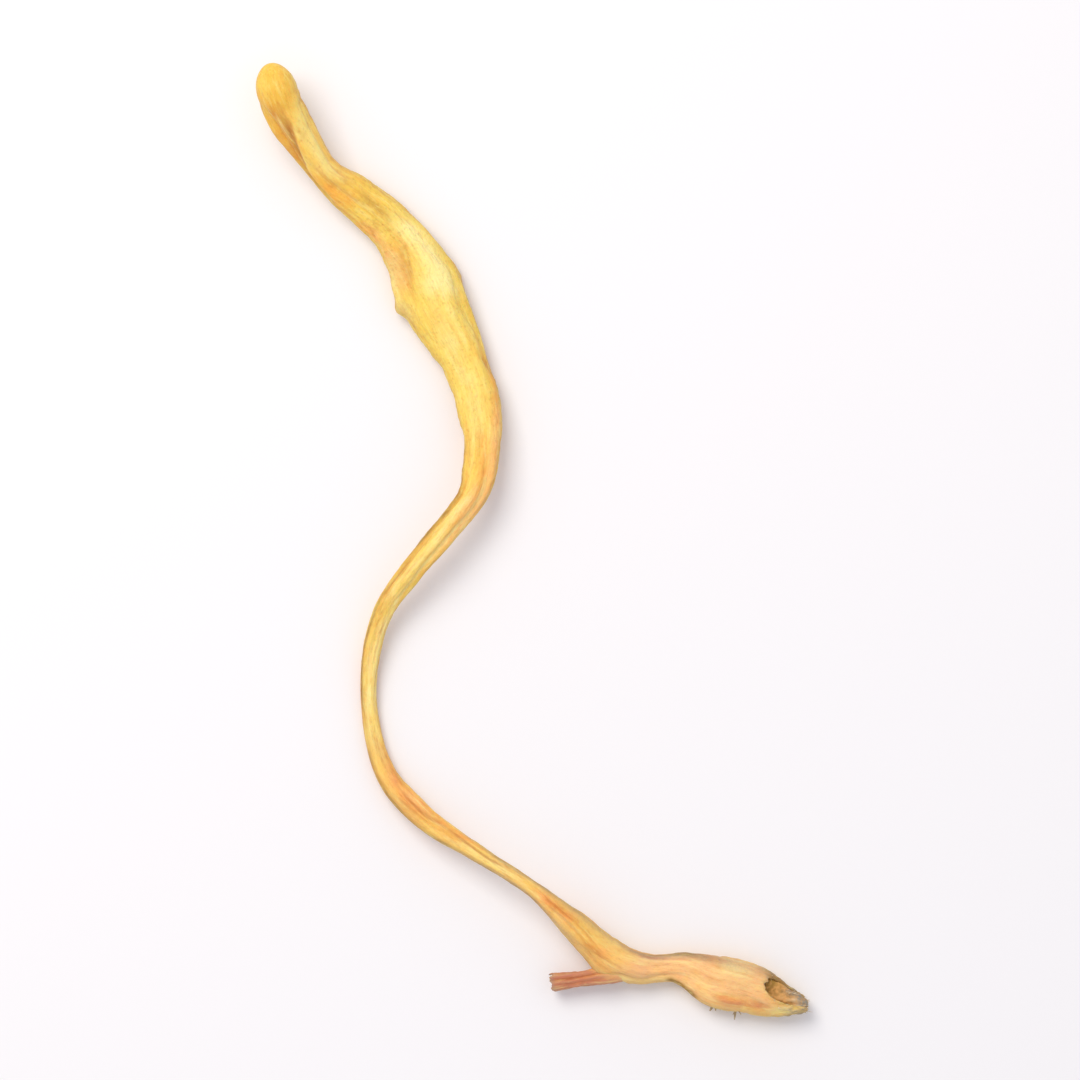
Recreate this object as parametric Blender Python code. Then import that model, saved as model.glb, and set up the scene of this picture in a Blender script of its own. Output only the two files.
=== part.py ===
"""A dried cordyceps fruiting body, lying on a table.

It is one strand that grew as one piece: a puffy round tip, a flattened club, a thin bent stem and a
spindle-shaped foot, whose end is torn out, with a short broken side stub where the foot begins.
It dried stiff and crooked, so it touches the table only under the club, at the outer bend of the
stem and under the foot, and arches between them.

Metres, +Z up. Seen from above, the tip is at the top left (-X, +Y) and the foot at the bottom right.
Around the strand, 0 degrees is its side that is on the left hand when walking from the tip to the
foot, 90 degrees is its top, 180 degrees its other side and 270 degrees its underside.
"""

import bmesh
import bpy
import numpy as np

MM = 0.001

# Places along the middle of the strand, from the tip to the foot, as seen from above, with its size
# there: (x, y, width, thickness, height of its underside above the table), in millimetres. A height
# below zero is where the strand's own weight has pressed it flat.
STATIONS = np.array(
    [
        (-14.62, 26.55, 2.15, 1.95, 2.00),
        (-13.87, 24.35, 2.30, 2.00, 1.75),
        (-12.68, 22.34, 2.30, 1.85, 1.30),
        (-11.47, 20.53, 1.88, 1.60, 0.85),
        (-9.70, 19.12, 2.45, 1.50, 0.42),
        (-7.93, 17.67, 2.72, 1.55, 0.12),
        (-6.49, 15.71, 3.40, 1.75, -0.08),
        (-5.69, 13.95, 3.95, 1.85, -0.14),
        (-4.91, 12.35, 3.50, 1.80, -0.12),
        (-3.91, 10.45, 2.85, 1.65, 0.00),
        (-3.11, 8.07, 2.55, 1.50, 0.35),
        (-2.80, 5.30, 2.08, 1.40, 0.95),
        (-3.22, 2.94, 1.74, 1.25, 1.50),
        (-4.73, 0.78, 1.45, 1.15, 1.75),
        (-6.73, -1.58, 1.38, 1.10, 1.55),
        (-8.27, -3.83, 1.12, 0.95, 0.95),
        (-9.02, -6.88, 0.96, 0.88, 0.25),
        (-8.95, -10.03, 1.00, 0.90, -0.06),
        (-8.04, -12.97, 1.22, 0.92, 0.15),
        (-6.22, -15.03, 1.42, 0.95, 0.75),
        (-3.25, -17.07, 0.96, 0.88, 1.35),
        (0.05, -19.22, 0.96, 0.90, 1.50),
        (2.20, -21.05, 1.58, 1.10, 1.15),
        (4.10, -22.77, 1.98, 1.25, 0.65),
        (5.95, -23.54, 1.74, 1.30, 0.28),
        (8.30, -23.64, 1.84, 1.50, 0.03),
        (10.20, -24.33, 2.85, 2.00, -0.10),
        (12.00, -24.72, 2.76, 2.10, -0.10),
        (13.65, -25.30, 2.08, 1.75, 0.10),
        (15.40, -25.64, 0.74, 0.92, 0.52),
    ]
)
TIP_ROUND = 1.55  # how far from the end the tip starts to close, mm
FOOT_ROUND = 0.60  # the same at the torn foot, mm
SQUARENESS = 0.92  # power of the section's sine and cosine: below 1 is fuller than an ellipse

# Lengthwise creases of the dried skin: (from, to, angle at the start, angle at the end, half-width of
# the crease in degrees, depth), where from, to and depth are millimetres. A depth below zero is a ridge.
CREASES = (
    (1.4, 8.5, 143, 168, 16, 0.42),  # fold beside the tip's lobe
    (2.2, 7.5, 48, 34, 14, 0.16),
    (0.8, 12.0, 104, 72, 17, -0.19),  # ridge that crosses from the tip to the club
    (11.0, 17.2, 100, 128, 19, 0.24),  # slanting fold on the left half of the club
    (11.8, 17.4, 152, 158, 13, -0.12),  # its raised rim
    (9.5, 23.0, 76, 66, 15, -0.20),  # bright ridge to the right of the middle
    (13.0, 21.0, 42, 30, 14, 0.16),
    (18.0, 27.5, 106, 86, 14, 0.19),
    (24.0, 37.0, 58, 44, 15, 0.24),  # groove on the inside of the first bend
    (25.5, 34.5, 138, 152, 14, 0.18),
    (35.0, 46.5, 96, 84, 19, 0.09),
    (44.5, 54.0, 88, 96, 20, 0.20),  # the stem is drawn in to a double line
    (53.5, 66.0, 62, 82, 15, 0.16),
    (58.0, 68.5, 136, 118, 14, 0.13),
    (64.5, 70.5, 92, 100, 14, 0.12),
    (1.0, 12.5, 252, 284, 20, 0.34),
    (19.0, 33.0, 236, 252, 19, 0.26),
    (23.0, 38.0, 312, 292, 17, 0.22),
    (44.0, 57.0, 284, 262, 20, 0.14),
    (54.0, 66.5, 246, 268, 18, 0.24),
    (9.0, 22.0, 8, -8, 14, 0.16),
    (26.0, 36.0, 196, 208, 15, 0.14),
    (64.0, 71.0, 326, 318, 16, 0.18),
)
CREASE_FADE = 0.28  # share of a crease's length over which each of its ends fades out
CREASE_WANDER = 6.0  # degrees that a crease strays to each side of its line
CREASE_WAVE = 5.2  # mm along the strand for one such stray

# Hollows and knobs: (place along the strand, angle, half-length, half-width in degrees, depth), mm.
SPOTS = (
    (70.6, 62, 0.90, 36, 0.58),  # the torn-out pit at the foot's end
    (16.0, 178, 0.42, 20, -0.32),  # nodule on the club's left edge
    (19.9, 182, 0.50, 24, 0.12),
    (22.0, 184, 0.60, 24, 0.11),
    (24.3, 180, 0.60, 24, 0.10),
    (5.2, 12, 0.90, 30, 0.12),
)
# Slow swelling and thinning of the whole strand: (wavelength in mm, share of the width, phase).
SWELLS = ((7.3, 0.022, 0.4), (3.9, 0.018, 2.1), (2.3, 0.010, 4.4))

# The broken side stub: the same five sizes at its root, inside the foot, and on to its blunt end.
STUB = np.array(
    [
        (5.90, -23.70, 1.00, 0.85, 0.55),
        (4.10, -23.98, 1.08, 0.88, 0.52),
        (2.50, -24.22, 0.98, 0.82, 0.50),
        (0.92, -24.42, 1.12, 0.90, 0.46),
    ]
)
STUB_ROUND = 0.16  # rounding of its blunt end, mm

RINGS = 166
AROUND = 26
CAP_RINGS = 5
STUB_RINGS = 16
STUB_AROUND = 16
STUB_CAP_RINGS = 2
SAMPLES_PER_STATION = 20  # how finely the curve through the stations is measured


def through(knots, values, at):
    """Cubic pieces through the values, each knot's slope being the average around it."""
    slopes = np.gradient(values, knots, axis=0)
    i = np.clip(np.searchsorted(knots, at, side="right") - 1, 0, len(knots) - 2)
    step = (knots[i + 1] - knots[i])[:, None]
    t = (at - knots[i])[:, None] / step
    ends = (2 * t**3 - 3 * t**2 + 1) * values[i] + (3 * t**2 - 2 * t**3) * values[i + 1]
    lean = (t**3 - 2 * t**2 + t) * slopes[i] + (t**3 - t**2) * slopes[i + 1]
    return ends + step * lean


def distance_along(points):
    """How far each point is from the first one, along the line through them."""
    return np.concatenate([[0.0], np.cumsum(np.linalg.norm(np.diff(points, axis=0), axis=1))])


def ring_places(length, rings, first_round, last_round, cap_rings):
    """Where the rings go: evenly along the middle, and close together where the ends are rounded."""
    turn = np.linspace(0, np.pi / 2, cap_rings + 1)[1:]
    first = first_round * (1 - np.cos(turn))
    last = length - last_round * (1 - np.cos(turn[::-1]))
    middle = np.linspace(first_round, length - last_round, rings - 2 * cap_rings + 2)[1:-1]
    return np.concatenate([first, middle, last])


def closing(places, length, first_round, last_round):
    """Share of the full section that is left at each place: a quarter circle at each end."""
    into_first = np.clip(1 - places / first_round, 0, 1)
    into_last = np.clip(1 - (length - places) / last_round, 0, 1)
    return np.sqrt(1 - into_first**2) * np.sqrt(1 - into_last**2)


def smooth_step(share):
    share = np.clip(share, 0, 1)
    return share * share * (3 - 2 * share)


def away(angle, centre):
    """Difference of two angles, in radians, from -pi to pi."""
    return (angle - centre + np.pi) % (2 * np.pi) - np.pi


def relief(places, angles):
    """How far the skin sinks, in mm, at each place along (rows) and each angle around (columns)."""
    sunk = np.zeros((len(places), len(angles)))
    for n, (start, end, from_angle, to_angle, half_width, depth) in enumerate(CREASES):
        share = (places - start) / (end - start)
        window = smooth_step(share / CREASE_FADE) * smooth_step((1 - share) / CREASE_FADE)
        line = from_angle + (to_angle - from_angle) * share
        line = line + CREASE_WANDER * np.sin(2 * np.pi * places / CREASE_WAVE + n)
        off = away(angles[None, :], np.radians(line)[:, None]) / np.radians(half_width)
        sunk += depth * window[:, None] * np.exp(-(off**2))
    for place, angle, half_length, half_width, depth in SPOTS:
        along = (places - place) / half_length
        off = away(angles, np.radians(angle)) / np.radians(half_width)
        sunk += depth * np.exp(-(along[:, None] ** 2) - off[None, :] ** 2)
    return sunk


def tube(stations, rings, around, cap_rings, first_round, last_round, with_relief):
    """Rings of points, in mm, along the stations, and the points that close the two ends."""
    rough = distance_along(stations[:, :2])
    fine = through(rough, stations, np.linspace(0, rough[-1], SAMPLES_PER_STATION * len(stations)))
    knots = distance_along(fine[:, :2])
    places = ring_places(knots[-1], rings, first_round, last_round, cap_rings)
    x, y, width, thick, lift = through(knots, fine, places).T
    left = closing(places, knots[-1], first_round, last_round)
    swell = 1 + sum(
        share * np.sin(2 * np.pi * places / wave + phase) for wave, share, phase in SWELLS
    )
    half_width = width / 2 * swell * left
    half_thick = thick / 2 * left
    middle = np.stack([x, y, lift + thick / 2], axis=1)

    forward = np.gradient(middle, places, axis=0)
    forward /= np.linalg.norm(forward, axis=1)[:, None]
    side = np.stack([-forward[:, 1], forward[:, 0], np.zeros(rings)], axis=1)
    side /= np.linalg.norm(side, axis=1)[:, None]
    top = np.cross(forward, side)

    angles = 2 * np.pi * np.arange(around) / around
    across = np.sign(np.cos(angles)) * np.abs(np.cos(angles)) ** SQUARENESS
    upward = np.sign(np.sin(angles)) * np.abs(np.sin(angles)) ** SQUARENESS
    across = half_width[:, None] * across[None, :]
    upward = half_thick[:, None] * upward[None, :]
    if with_relief:
        shrink = 1 - relief(places, angles) * left[:, None] / np.hypot(across, upward)
        across = across * shrink
        upward = upward * shrink
    skin = (
        middle[:, None, :]
        + across[:, :, None] * side[:, None, :]
        + upward[:, :, None] * top[:, None, :]
    )
    ends = through(knots, fine, np.array([0.0, knots[-1]]))
    poles = np.stack([ends[:, 0], ends[:, 1], ends[:, 4] + ends[:, 3] / 2], axis=1)
    return skin, poles


def closed_mesh(name, skin, poles):
    """A mesh of quads between the rings, with a fan of triangles at each end, faces outwards."""
    mesh = bpy.data.meshes.new(name)
    bm = bmesh.new()
    rings = [[bm.verts.new(point * MM) for point in ring] for ring in skin]
    first_pole, last_pole = (bm.verts.new(point * MM) for point in poles)
    around = len(rings[0])
    for j in range(around):
        after = (j + 1) % around
        bm.faces.new((first_pole, rings[0][after], rings[0][j]))
        bm.faces.new((last_pole, rings[-1][j], rings[-1][after]))
        for here, there in zip(rings, rings[1:]):
            bm.faces.new((here[j], here[after], there[after], there[j]))
    for face in bm.faces:
        face.smooth = True
    bm.to_mesh(mesh)
    bm.free()
    thing = bpy.data.objects.new(name, mesh)
    bpy.context.scene.collection.objects.link(thing)
    return thing


def dried_skin():
    """Matt, slightly waxy orange-yellow skin of the dried fungus."""
    material = bpy.data.materials.new("dried_fungus_skin")
    material.use_nodes = True
    shader = material.node_tree.nodes["Principled BSDF"]
    shader.inputs["Base Color"].default_value = (0.87, 0.46, 0.10, 1.0)
    shader.inputs["Roughness"].default_value = 0.62
    shader.inputs["Metallic"].default_value = 0.0
    return material


def pressed_flat(skin):
    """The skin with all that would go below the table lying on it."""
    flat = skin.copy()
    flat[..., 2] = np.maximum(flat[..., 2], 0.0)
    return flat


def main():
    for old in list(bpy.data.objects):
        bpy.data.objects.remove(old, do_unlink=True)

    skin, poles = tube(STATIONS, RINGS, AROUND, CAP_RINGS, TIP_ROUND, FOOT_ROUND, True)
    stub_skin, stub_poles = tube(
        STUB, STUB_RINGS, STUB_AROUND, STUB_CAP_RINGS, STUB_ROUND, STUB_ROUND, False
    )
    strand = closed_mesh("cordyceps_strand", pressed_flat(skin), poles)
    strand.data.materials.append(dried_skin())
    stub = closed_mesh("stub_to_join", stub_skin, stub_poles)
    stub.hide_render = True
    stub.display_type = "WIRE"
    join = strand.modifiers.new("join the side stub", "BOOLEAN")
    join.operation = "UNION"
    join.solver = "EXACT"
    join.object = stub


if __name__ == "__main__":
    main()
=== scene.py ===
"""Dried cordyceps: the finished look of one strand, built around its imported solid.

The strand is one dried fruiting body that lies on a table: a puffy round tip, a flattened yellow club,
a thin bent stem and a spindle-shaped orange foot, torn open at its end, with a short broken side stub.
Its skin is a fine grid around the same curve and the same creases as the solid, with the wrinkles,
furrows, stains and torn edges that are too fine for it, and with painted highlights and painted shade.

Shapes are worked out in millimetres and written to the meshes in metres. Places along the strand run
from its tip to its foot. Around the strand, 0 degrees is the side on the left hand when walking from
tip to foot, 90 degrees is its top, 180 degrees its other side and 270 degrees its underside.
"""

import bpy
import numpy as np
from bpy.props import FloatProperty, FloatVectorProperty, PointerProperty
from bpy.types import Operator, Panel, PropertyGroup
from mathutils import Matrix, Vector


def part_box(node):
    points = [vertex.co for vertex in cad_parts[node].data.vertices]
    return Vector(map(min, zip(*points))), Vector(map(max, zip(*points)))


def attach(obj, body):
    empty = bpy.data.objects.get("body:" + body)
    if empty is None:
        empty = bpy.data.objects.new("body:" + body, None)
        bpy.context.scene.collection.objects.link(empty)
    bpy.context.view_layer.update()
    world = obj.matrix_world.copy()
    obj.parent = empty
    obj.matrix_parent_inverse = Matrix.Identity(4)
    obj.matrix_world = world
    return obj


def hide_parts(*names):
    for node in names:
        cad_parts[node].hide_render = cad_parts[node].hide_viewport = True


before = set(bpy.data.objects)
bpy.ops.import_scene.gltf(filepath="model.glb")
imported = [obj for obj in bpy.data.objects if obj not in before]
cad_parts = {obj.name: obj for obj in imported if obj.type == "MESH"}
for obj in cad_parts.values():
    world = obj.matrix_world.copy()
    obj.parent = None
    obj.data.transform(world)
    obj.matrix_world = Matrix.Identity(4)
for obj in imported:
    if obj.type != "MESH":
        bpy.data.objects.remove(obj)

bl_info = {
    "name": "Dried cordyceps strand",
    "version": (1, 0, 0),
    "blender": (4, 5, 0),
    "location": "3D View > Sidebar > Cordyceps",
    "description": "Finished surfaces of one dried cordyceps strand",
    "category": "Object",
}

MM = 0.001
SOLID_NODE = "cordyceps_strand"
BODY = "root"

# The strand's middle as seen from above and its size there, the same as the solid's:
# (x, y, width, thickness, height of its underside above the table), mm.
STATIONS = np.array(
    [
        (-14.62, 26.55, 2.15, 1.95, 2.00),
        (-13.87, 24.35, 2.30, 2.00, 1.75),
        (-12.68, 22.34, 2.30, 1.85, 1.30),
        (-11.47, 20.53, 1.88, 1.60, 0.85),
        (-9.70, 19.12, 2.45, 1.50, 0.42),
        (-7.93, 17.67, 2.72, 1.55, 0.12),
        (-6.49, 15.71, 3.40, 1.75, -0.08),
        (-5.69, 13.95, 3.95, 1.85, -0.14),
        (-4.91, 12.35, 3.50, 1.80, -0.12),
        (-3.91, 10.45, 2.85, 1.65, 0.00),
        (-3.11, 8.07, 2.55, 1.50, 0.35),
        (-2.80, 5.30, 2.08, 1.40, 0.95),
        (-3.22, 2.94, 1.74, 1.25, 1.50),
        (-4.73, 0.78, 1.45, 1.15, 1.75),
        (-6.73, -1.58, 1.38, 1.10, 1.55),
        (-8.27, -3.83, 1.12, 0.95, 0.95),
        (-9.02, -6.88, 0.96, 0.88, 0.25),
        (-8.95, -10.03, 1.00, 0.90, -0.06),
        (-8.04, -12.97, 1.22, 0.92, 0.15),
        (-6.22, -15.03, 1.42, 0.95, 0.75),
        (-3.25, -17.07, 0.96, 0.88, 1.35),
        (0.05, -19.22, 0.96, 0.90, 1.50),
        (2.20, -21.05, 1.58, 1.10, 1.15),
        (4.10, -22.77, 1.98, 1.25, 0.65),
        (5.95, -23.54, 1.74, 1.30, 0.28),
        (8.30, -23.64, 1.84, 1.50, 0.03),
        (10.20, -24.33, 2.85, 2.00, -0.10),
        (12.00, -24.72, 2.76, 2.10, -0.10),
        (13.65, -25.30, 2.08, 1.75, 0.10),
        (15.40, -25.64, 0.74, 0.92, 0.52),
    ]
)
SQUARENESS = 0.92  # power of the section's sine and cosine: below 1 is fuller than an ellipse
TIP_ROUND = 1.55  # how far from the end the tip starts to close, mm
SAMPLES_PER_STATION = 20

# Lengthwise creases: (from, to, angle at the start, angle at the end, half-width in degrees, depth),
# where from, to and depth are millimetres. A depth below zero is a ridge. These are the solid's own.
CREASES = (
    (1.4, 8.5, 143, 168, 16, 0.42),  # fold beside the tip's lobe
    (2.2, 7.5, 48, 34, 14, 0.16),
    (0.8, 12.0, 104, 72, 17, -0.19),  # ridge that crosses from the tip to the club
    (11.0, 17.2, 100, 128, 19, 0.24),  # slanting fold on the left half of the club
    (11.8, 17.4, 152, 158, 13, -0.12),  # its raised rim
    (9.5, 23.0, 76, 66, 15, -0.20),  # bright ridge to the right of the middle
    (13.0, 21.0, 42, 30, 14, 0.16),
    (18.0, 27.5, 106, 86, 14, 0.19),
    (24.0, 37.0, 58, 44, 15, 0.24),  # groove on the inside of the first bend
    (25.5, 34.5, 138, 152, 14, 0.18),
    (35.0, 46.5, 96, 84, 19, 0.09),
    (44.5, 54.0, 88, 96, 20, 0.20),  # the stem is drawn in to a double line
    (53.5, 66.0, 62, 82, 15, 0.16),
    (58.0, 68.5, 136, 118, 14, 0.13),
    (64.5, 70.5, 92, 100, 14, 0.12),
    (1.0, 12.5, 252, 284, 20, 0.34),
    (19.0, 33.0, 236, 252, 19, 0.26),
    (23.0, 38.0, 312, 292, 17, 0.22),
    (44.0, 57.0, 284, 262, 20, 0.14),
    (54.0, 66.5, 246, 268, 18, 0.24),
    (9.0, 22.0, 8, -8, 14, 0.16),
    (26.0, 36.0, 196, 208, 15, 0.14),
    (64.0, 71.0, 326, 318, 16, 0.18),
)
# Sharper lines that only show in the finished skin, in the same terms.
FINE_CREASES = (
    (2.7, 6.4, 98, 140, 8, 0.15),  # under the ridge of the tip
    (8.6, 11.6, 78, 74, 8, 0.04),
    (11.8, 16.6, 96, 120, 7, 0.07),
    (12.6, 17.4, 112, 134, 6, 0.05),
    (23.2, 27.0, 72, 68, 8, 0.05),
    (27.2, 36.0, 126, 132, 9, 0.07),  # dark line beside the bright middle of the bend
    (35.5, 39.5, 52, 60, 9, 0.03),
    (45.0, 54.5, 66, 72, 9, 0.05),
    (24.0, 37.0, 58, 44, 10, -0.09),  # low ridge in the groove on the inside of the first bend
    (55.0, 61.5, 78, 88, 9, 0.04),
    (56.0, 63.0, 108, 102, 7, 0.05),
    (62.0, 67.4, 50, 44, 8, 0.07),
    (66.4, 69.6, 60, 54, 5, 0.05),  # fine parallel lines on the foot
    (66.0, 69.3, 72, 68, 5, 0.05),
    (65.8, 69.0, 84, 82, 5, 0.04),
    (67.2, 71.0, 116, 126, 9, 0.12),
    (45.5, 53.0, 112, 108, 9, 0.05),
)
CREASE_FADE = 0.28  # share of a crease's length over which each of its ends fades out
CREASE_WANDER = 6.0  # degrees that a crease strays to each side of its line
CREASE_WAVE = 5.2  # mm along the strand for one such stray

# Hollows and knobs: (place, angle, half-length, half-width in degrees, depth), mm.
SPOTS = (
    (16.0, 178, 0.42, 20, -0.32),  # nodule on the club's left edge
    (19.9, 182, 0.50, 24, 0.12),
    (22.0, 184, 0.60, 24, 0.11),
    (24.3, 180, 0.60, 24, 0.10),
    (5.2, 12, 0.90, 30, 0.12),
    (9.9, 84, 0.45, 13, 0.08),
    (7.6, 112, 0.55, 15, 0.07),
    (65.3, 22, 0.45, 12, -0.10),  # dark scale on the foot's upper edge
    (65.9, 158, 0.60, 10, -0.07),
)
# Slow swelling and thinning of the whole strand: (wavelength in mm, share of the width, phase).
SWELLS = ((7.3, 0.022, 0.4), (3.9, 0.018, 2.1), (2.3, 0.010, 4.4))

# Random relief of several layers: (length of a cell in mm, cells around, seed, height).
UNDULATIONS = ((2.60, 5, 28, 0.050), (1.10, 10, 29, 0.028))  # heights as shares of the mean radius
PIMPLES = ((0.26, 38, 31, 1.0), (0.15, 60, 32, 0.6))
END_CRUMBS = ((0.34, 21, 41, 1.0), (0.17, 43, 42, 0.6))
STUB_GRAIN = ((0.50, 9, 58, 0.030), (0.22, 20, 59, 0.018))  # heights in mm
PITH_FIBRES = ((1.10, 13, 71, 1.0), (0.70, 29, 72, 0.8))
PITH_CRUMBS = ((0.30, 9, 73, 1.0), (0.13, 30, 74, 0.5))
# Random creases: (length of a cell in mm, cells around, seed, strength, share of it lost on the club).
DRY_CREASES = ((7.0, 6, 22, 1.00, 0.3), (3.6, 12, 24, 0.65, 0.0), (1.5, 25, 26, 0.35, 0.0))
STUB_DRY_CREASES = (2.4, 8, 55)  # the first three of these
STUB_DRY_DEPTH = 0.07  # mm
CREASE_SHARPNESS = 5  # power that narrows a random crease
STRAY_CELL = 1.6  # length over which a random crease strays, in its own cells
STRAY_ALONG = 0.7  # how far it strays along the strand, in its own cells
STRAY_AROUND = 3.5  # how far it strays around, in radians divided by its cells around
# Short folds across the strand, where a bend squeezes the skin on its inner side.
CROSS_FOLD_WAVE = 0.85  # mm from one to the next
CROSS_FOLD_DEPTH = 0.05  # share of the mean radius
CROSS_FOLD_CELLS = (1.2, 6, 30)  # how they stray: (length of a cell in mm, cells around, seed)
CROSS_FOLD_STRAY = 2.5  # radians of the wave
SQUEEZE = 4.0  # how soon a bend squeezes the skin fully

# Where the skin is of one kind: (from, fade, to, fade back), mm. A fade below zero runs backwards.
CLUB = (7.0, 4.0, 30.0, -5.0)
PORES = (1.0, 4.0, 31.0, -8.0)
FOOT = (60.0, 3.0)
GRAIN_OFF_CLUB = 0.45  # height of the pimples outside the club, as a share of their height on it

# How the skin's colour changes from tip to foot: (place, shares of orange, of peach and of gold).
TINTS = np.array(
    [
        (0.0, 0.38, 0.00, 0.70),
        (2.5, 0.48, 0.00, 0.60),
        (4.5, 0.34, 0.00, 0.38),
        (7.0, 0.24, 0.00, 0.36),
        (11.0, 0.06, 0.00, 0.00),
        (12.0, 0.02, 0.00, 0.00),
        (22.0, 0.04, 0.00, 0.00),
        (27.0, 0.20, 0.05, 0.00),
        (33.0, 0.12, 0.10, 0.00),
        (40.0, 0.20, 0.15, 0.00),
        (48.0, 0.24, 0.35, 0.00),
        (53.0, 0.08, 0.30, 0.00),
        (57.0, 0.30, 0.35, 0.00),
        (60.0, 0.22, 0.35, 0.00),
        (63.0, 0.00, 0.45, 0.00),
        (72.7, 0.00, 0.30, 0.00),
    ]
)
# Where it departs from that, as streaks (from, to, angle at the start, angle at the
# end, half-width in degrees, strength) and patches (place, angle, half-length, half-width, strength).
# Orange is partly the skin's own tone and partly painted shade: on both lower flanks all along the strand,
# in the fold beside the tip's lobe, in the club's slanting fold and along its left edge.
ORANGE_STREAKS = (
    (1.0, 6.0, 146, 166, 28, 0.9),
    (6.0, 9.6, 118, 112, 20, 0.38),
    (9.0, 15.5, 150, 152, 18, 0.35),
    (11.5, 16.0, 112, 128, 28, 0.28),
    (18.0, 30.0, 30, 34, 20, 0.55),
    (23.5, 31.0, 88, 74, 17, 0.65),
    (25.0, 33.0, 62, 50, 18, 0.50),
    (33.5, 40.0, 48, 56, 20, 0.15),
    (43.5, 52.0, 76, 84, 30, 0.35),
    (42.5, 53.5, 38, 42, 26, 0.60),
    (54.0, 62.5, 84, 92, 26, 0.35),
    (54.0, 62.0, 140, 150, 24, 0.20),
    (67.0, 71.0, 124, 130, 14, 1.2),
    (0.0, 72.0, 225, 232, 34, 0.55),
    (0.0, 72.0, 318, 308, 34, 0.55),
    (4.6, 12.8, 143, 141, 17, 0.40),
)
# The first patch is painted shade on the shaded side of the tip's lobe.
ORANGE_PATCHES = (
    (3.0, 150, 1.0, 30, 0.5),
    (7.6, 112, 0.9, 20, 0.2),
    (1.6, 56, 1.5, 42, 0.26),
    (2.6, 95, 0.8, 50, 0.22),
    (5.7, 66, 0.9, 34, 0.38),
    (14.2, 118, 0.9, 15, 0.14),
    (57.3, 86, 0.9, 22, 0.40),
    (60.2, 96, 1.1, 24, 0.20),
)
PEACH_STREAKS = (
    (9.5, 15.8, 132, 140, 17, 0.5),
    (3.8, 7.2, 20, 10, 18, 0.6),
    (22.0, 32.0, 42, 36, 22, 0.75),
    (43.5, 50.0, 50, 60, 24, 0.5),
    (61.0, 72.5, 90, 90, 80, 0.85),
)
PEACH_PATCHES = ((68.4, 90, 1.3, 50, 0.3),)
# The pale streaks and patches are partly the skin's own pale tone and mostly painted highlight, with
# painted light that lifts some shaded folds.
PALE_STREAKS = (
    (1.9, 8.6, 80, 56, 30, 1.0),
    (10.5, 17.2, 66, 62, 26, 0.95),
    (12.2, 17.4, 152, 150, 15, 0.6),
    (16.0, 26.0, 98, 104, 22, 0.38),
    (26.0, 36.5, 96, 98, 16, 0.45),
    (26.0, 37.0, 60, 53, 15, 0.35),
    (34.0, 43.0, 42, 38, 26, 0.60),
    (36.5, 45.0, 92, 96, 24, 0.6),
    (50.0, 55.0, 84, 90, 24, 0.55),
    (61.0, 65.6, 150, 152, 22, 0.5),
    (66.8, 69.6, 62, 58, 22, 0.4),
)
PALE_PATCHES = (
    (1.0, 122, 0.9, 34, 0.25),
    (2.9, 42, 1.4, 20, 0.75),
    (5.7, 128, 0.7, 14, 0.60),
    (71.4, 132, 0.5, 26, 0.90),
)
# The olive streaks are painted shade along the edges and in creases; the olive patches are partly painted
# shade in folds and partly dark marks of the skin.
OLIVE_STREAKS = (
    (2.0, 5.6, 98, 134, 11, 0.34),
    (8.8, 11.6, 78, 74, 13, 0.22),
    (23.5, 34.0, 166, 164, 12, 0.6),
    (27.5, 36.0, 134, 138, 9, 0.3),
    (36.0, 54.0, 134, 132, 20, 0.26),
    (34.0, 42.0, 148, 150, 15, 0.85),
    (40.0, 60.0, 160, 158, 17, 0.45),
    (50.0, 61.0, 20, 24, 20, 0.5),
    (61.0, 68.5, 29, 26, 13, 0.50),
    (64.2, 67.0, 155, 155, 12, 1.1),
)
OLIVE_PATCHES = (
    (1.4, 85, 1.6, 85, 0.13),
    (2.4, 84, 0.5, 16, 0.18),
    (14.3, 116, 0.8, 13, 0.22),
    (13.5, 137, 1.6, 18, 0.13),
    (65.3, 22, 0.5, 12, 0.8),
    (65.9, 158, 0.7, 12, 0.6),
    (67.6, 178, 0.60, 11, 0.45),
    (68.9, 184, 0.70, 10, 0.40),
    (70.9, 16, 1.0, 32, 1.5),  # stained dark beyond the mouth
    (72.0, 8, 0.8, 34, 0.9),
)
# Painted shade, brown, where the fold beside the tip's lobe is deepest.
FOLD_SHADE_PATCHES = (
    (2.5, 124, 0.55, 17, 0.50),
    (3.4, 114, 0.50, 11, 0.60),
    (4.3, 128, 0.60, 11, 0.35),
    (4.9, 142, 0.50, 13, 0.35),
)
# Rosy brown, as on the stub.
RED_STREAKS = ((61.0, 68.5, 30, 30, 17, 0.75), (67.2, 71.2, 126, 132, 10, 0.60))
# Greyer bands along both edges of the stem and the foot.
GREY_STREAKS = (
    (50.0, 71.5, 32, 30, 22, 0.36),
    (67.0, 71.5, 32, 30, 24, 0.26),
    (50.0, 61.8, 148, 150, 22, 0.42),
)

# How the strand's stains, painted highlights and painted shade follow its relief and its section besides.
EDGE_SHARPNESS = 6  # power of the cosine that keeps the painted edge shade to the two edges
EDGE_SHADE = 0.28
CREST_FULL = 0.06  # height of a crest whose painted highlight is full, as a share of the half-width
CREST_HIGHLIGHT = 0.35
FURROW_START = 0.04  # depth from which a furrow gets painted shade, as a share of the half-width
FURROW_RANGE = 0.085  # how much deeper its painted shade is full
FOLD_FULL = 0.55  # depth of a fold whose painted shade is full, mm
FOLD_SHARPNESS = 3
CREASE_SHADE = 0.55
CREASE_LESS_ON_FOOT = 0.35
PEACH_UNDER_ORANGE = 0.8  # share of the peach that orange takes the place of
STUB_BLUSH = (0.25, 0.6)  # red around the stub: its strength, and the gap where it has faded, mm

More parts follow.
